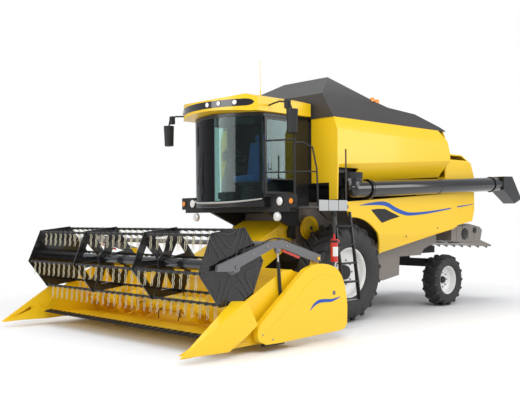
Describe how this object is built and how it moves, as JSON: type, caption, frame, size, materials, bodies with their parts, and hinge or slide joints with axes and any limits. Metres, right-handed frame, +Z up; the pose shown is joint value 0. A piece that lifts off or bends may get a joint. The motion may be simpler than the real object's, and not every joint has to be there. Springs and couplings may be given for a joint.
{
  "type": "combine harvester",
  "caption": "Self-propelled combine harvester with a cab, grain tank, unloading auger, steered rear wheels and a grain header with a turning reel that lifts.",
  "frame": {"origin": "on the ground, under the middle of the machine's overall length and width", "axes": "+X forward towards the header, +Y to the machine's left, +Z up"},
  "size_m": [9.597, 5, 4.3],
  "materials": {
    "yellow_paint": "gloss",
    "black_paint": "satin",
    "dark_grey_paint": "satin",
    "warm_grey_paint": "satin",
    "white_paint": "gloss",
    "red_paint": "gloss",
    "rod_steel": "polished",
    "tyre_rubber": "matte",
    "clear_glass": "gloss",
    "seat_cloth": "woven"
  },
  "bodies": {
    "chassis": {"main_frame": "black_paint", "threshing_body": "warm_grey_paint", "engine": "dark_grey_paint", "body_deck": "black_paint", "grain_tank": "dark_grey_paint", "left_tank_side": "yellow_paint", "right_tank_side": "yellow_paint", "tank_extension": "dark_grey_paint", "rear_hood": "yellow_paint", "straw_chopper": "warm_grey_paint", "cab_frame": "black_paint", "cab_glass": "clear_glass", "cab_roof": "yellow_paint", "cab_interior": "seat_cloth", "cab_support": "dark_grey_paint", "platform": "dark_grey_paint", "left_mirror": "black_paint", "right_mirror": "black_paint", "steer_axle": "black_paint"},
    "left_panel": {"left_side_panel": "yellow_paint"},
    "right_panel": {"right_side_panel": "yellow_paint"},
    "door": {"cab_door": "black_paint", "door_glass": "clear_glass"},
    "ladder": {"ladder": "black_paint", "fire_extinguisher": "red_paint"},
    "unloader": {"unloading_auger": "black_paint"},
    "left_knuckle": {"left_steer_knuckle": "black_paint"},
    "right_knuckle": {"right_steer_knuckle": "black_paint"},
    "left_drive_wheel": {"left_drive_tyre": "tyre_rubber", "left_drive_rim": "white_paint"},
    "right_drive_wheel": {"right_drive_tyre": "tyre_rubber", "right_drive_rim": "white_paint"},
    "left_steer_wheel": {"left_steer_tyre": "tyre_rubber", "left_steer_rim": "white_paint"},
    "right_steer_wheel": {"right_steer_tyre": "tyre_rubber", "right_steer_rim": "white_paint"},
    "header": {"feeder_house": "yellow_paint", "header_trough": "yellow_paint", "left_header_end": "yellow_paint", "right_header_end": "yellow_paint", "left_header_shield": "yellow_paint", "right_header_shield": "yellow_paint", "cutter_bar": "black_paint"},
    "header_auger": {"cross_auger": "yellow_paint"},
    "reel_arms": {"reel_arms": "dark_grey_paint"},
    "reel": {"reel": "black_paint"},
    "tine_bar_1": {"tine_bar_1": "black_paint"},
    "tine_bar_2": {"tine_bar_2": "black_paint"},
    "tine_bar_3": {"tine_bar_3": "black_paint"},
    "tine_bar_4": {"tine_bar_4": "black_paint"},
    "tine_bar_5": {"tine_bar_5": "black_paint"},
    "tine_bar_6": {"tine_bar_6": "black_paint"},
    "left_lift_barrel": {"left_lift_barrel": "black_paint"},
    "left_lift_rod": {"left_lift_rod": "rod_steel"},
    "left_reel_barrel": {"left_reel_barrel": "black_paint"},
    "left_reel_rod": {"left_reel_rod": "rod_steel"},
    "right_lift_barrel": {"right_lift_barrel": "black_paint"},
    "right_lift_rod": {"right_lift_rod": "rod_steel"},
    "right_reel_barrel": {"right_reel_barrel": "black_paint"},
    "right_reel_rod": {"right_reel_rod": "rod_steel"}
  },
  "joints": [
    {"name": "left_drive_wheel_turn", "type": "hinge", "parent": "chassis", "child": "left_drive_wheel", "pos_m": [0.4415, 1.14, 0.845], "axis": [0, 1, 0], "continuous": true},
    {"name": "left_steer", "type": "hinge", "parent": "chassis", "child": "left_knuckle", "pos_m": [-2.7285, 0.815, 0.85], "axis": [0, 0, 1], "range_deg": [-35, 35]},
    {"name": "left_steer_wheel_turn", "type": "hinge", "parent": "left_knuckle", "child": "left_steer_wheel", "pos_m": [-2.7285, 1.118, 0.515], "axis": [0, 1, 0], "continuous": true},
    {"name": "right_drive_wheel_turn", "type": "hinge", "parent": "chassis", "child": "right_drive_wheel", "pos_m": [0.4415, -1.14, 0.845], "axis": [0, 1, 0], "continuous": true},
    {"name": "right_steer", "type": "hinge", "parent": "chassis", "child": "right_knuckle", "pos_m": [-2.7285, -0.815, 0.85], "axis": [0, 0, 1], "range_deg": [-35, 35]},
    {"name": "right_steer_wheel_turn", "type": "hinge", "parent": "right_knuckle", "child": "right_steer_wheel", "pos_m": [-2.7285, -1.118, 0.515], "axis": [0, 1, 0], "continuous": true},
    {"name": "left_panel_lift", "type": "hinge", "parent": "chassis", "child": "left_panel", "pos_m": [-0.5585, 1.395, 2.07532], "axis": [0.998, 0, -0.0627], "range_deg": [0, 55]},
    {"name": "right_panel_lift", "type": "hinge", "parent": "chassis", "child": "right_panel", "pos_m": [-0.5585, -1.395, 2.07532], "axis": [-0.998, 0, 0.0627], "range_deg": [0, 55]},
    {"name": "door_open", "type": "hinge", "parent": "chassis", "child": "door", "pos_m": [1.2305, 0.893, 2.7], "axis": [0, 0, 1], "range_deg": [0, 80]},
    {"name": "ladder_swing", "type": "hinge", "parent": "chassis", "child": "ladder", "pos_m": [1.1465, 1.655, 1.5], "axis": [0, 0, 1], "range_deg": [-165, 0]},
    {"name": "unloader_swing", "type": "hinge", "parent": "chassis", "child": "unloader", "pos_m": [0.5015, 1.5, 2.43], "axis": [0, 0, -1], "range_deg": [0, 95]},
    {"name": "header_lift", "type": "hinge", "parent": "chassis", "child": "header", "pos_m": [1.0635, 0, 1.52], "axis": [0, -1, 0], "range_deg": [0, 28]},
    {"name": "header_auger_turn", "type": "hinge", "parent": "header", "child": "header_auger", "pos_m": [3.1215, 0, 0.452], "axis": [0, 1, 0], "continuous": true},
    {"name": "reel_lift", "type": "hinge", "parent": "header", "child": "reel_arms", "pos_m": [2.2915, 0, 1.2], "axis": [0, -1, 0], "range_deg": [0, 20]},
    {"name": "reel_turn", "type": "hinge", "parent": "reel_arms", "child": "reel", "pos_m": [3.8365, 0, 1.151], "axis": [0, 1, 0], "continuous": true},
    {"name": "tine_bar_1_turn", "type": "hinge", "parent": "reel", "child": "tine_bar_1", "pos_m": [4.14462, 0, 1.5674], "axis": [0, 1, 0], "continuous": true},
    {"name": "tine_bar_2_turn", "type": "hinge", "parent": "reel", "child": "tine_bar_2", "pos_m": [3.62995, 0, 1.62604], "axis": [0, 1, 0], "continuous": true},
    {"name": "tine_bar_3_turn", "type": "hinge", "parent": "reel", "child": "tine_bar_3", "pos_m": [3.32183, 0, 1.20964], "axis": [0, 1, 0], "continuous": true},
    {"name": "tine_bar_4_turn", "type": "hinge", "parent": "reel", "child": "tine_bar_4", "pos_m": [3.52838, 0, 0.7346], "axis": [0, 1, 0], "continuous": true},
    {"name": "tine_bar_5_turn", "type": "hinge", "parent": "reel", "child": "tine_bar_5", "pos_m": [4.04305, 0, 0.67596], "axis": [0, 1, 0], "continuous": true},
    {"name": "tine_bar_6_turn", "type": "hinge", "parent": "reel", "child": "tine_bar_6", "pos_m": [4.35117, 0, 1.09236], "axis": [0, 1, 0], "continuous": true},
    {"name": "left_lift_barrel_turn", "type": "hinge", "parent": "chassis", "child": "left_lift_barrel", "pos_m": [0.6165, 0.43, 0.64], "axis": [0, -1, 0], "range_deg": [-0.5, 17.33]},
    {"name": "left_lift_rod_slide", "type": "slide", "parent": "left_lift_barrel", "child": "left_lift_rod", "axis": [0.9988, 0, 0.049], "range_m": [-0.002, 0.38034]},
    {"name": "left_reel_barrel_turn", "type": "hinge", "parent": "header", "child": "left_reel_barrel", "pos_m": [3.0315, 2.345, 0.745], "axis": [0, -1, 0], "range_deg": [-0.5, 8.17]},
    {"name": "left_reel_rod_slide", "type": "slide", "parent": "left_reel_barrel", "child": "left_reel_rod", "axis": [0.0859, 0, 0.9963], "range_m": [-0.002, 0.26447]},
    {"name": "right_lift_barrel_turn", "type": "hinge", "parent": "chassis", "child": "right_lift_barrel", "pos_m": [0.6165, -0.43, 0.64], "axis": [0, -1, 0], "range_deg": [-0.5, 17.33]},
    {"name": "right_lift_rod_slide", "type": "slide", "parent": "right_lift_barrel", "child": "right_lift_rod", "axis": [0.9988, 0, 0.049], "range_m": [-0.002, 0.38034]},
    {"name": "right_reel_barrel_turn", "type": "hinge", "parent": "header", "child": "right_reel_barrel", "pos_m": [3.0315, -2.345, 0.745], "axis": [0, -1, 0], "range_deg": [-0.5, 8.17]},
    {"name": "right_reel_rod_slide", "type": "slide", "parent": "right_reel_barrel", "child": "right_reel_rod", "axis": [0.0859, 0, 0.9963], "range_m": [-0.002, 0.26447]}
  ],
  "couplings": [
    {"joint": "right_steer", "follows": "left_steer", "ratio": 1},
    {"joint": "tine_bar_1_turn", "follows": "reel_turn", "ratio": -1},
    {"joint": "tine_bar_2_turn", "follows": "reel_turn", "ratio": -1},
    {"joint": "tine_bar_3_turn", "follows": "reel_turn", "ratio": -1},
    {"joint": "tine_bar_4_turn", "follows": "reel_turn", "ratio": -1},
    {"joint": "tine_bar_5_turn", "follows": "reel_turn", "ratio": -1},
    {"joint": "tine_bar_6_turn", "follows": "reel_turn", "ratio": -1},
    {"joint": "left_lift_barrel_turn", "follows": "header_lift", "ratio": 0.60098},
    {"joint": "left_lift_rod_slide", "follows": "header_lift", "m_per_rad": 0.77215},
    {"joint": "left_reel_barrel_turn", "follows": "reel_lift", "ratio": 0.38358},
    {"joint": "left_reel_rod_slide", "follows": "reel_lift", "m_per_rad": 0.74907},
    {"joint": "right_lift_barrel_turn", "follows": "header_lift", "ratio": 0.60098},
    {"joint": "right_lift_rod_slide", "follows": "header_lift", "m_per_rad": 0.77215},
    {"joint": "right_reel_barrel_turn", "follows": "reel_lift", "ratio": 0.38358},
    {"joint": "right_reel_rod_slide", "follows": "reel_lift", "m_per_rad": 0.74907}
  ]
}
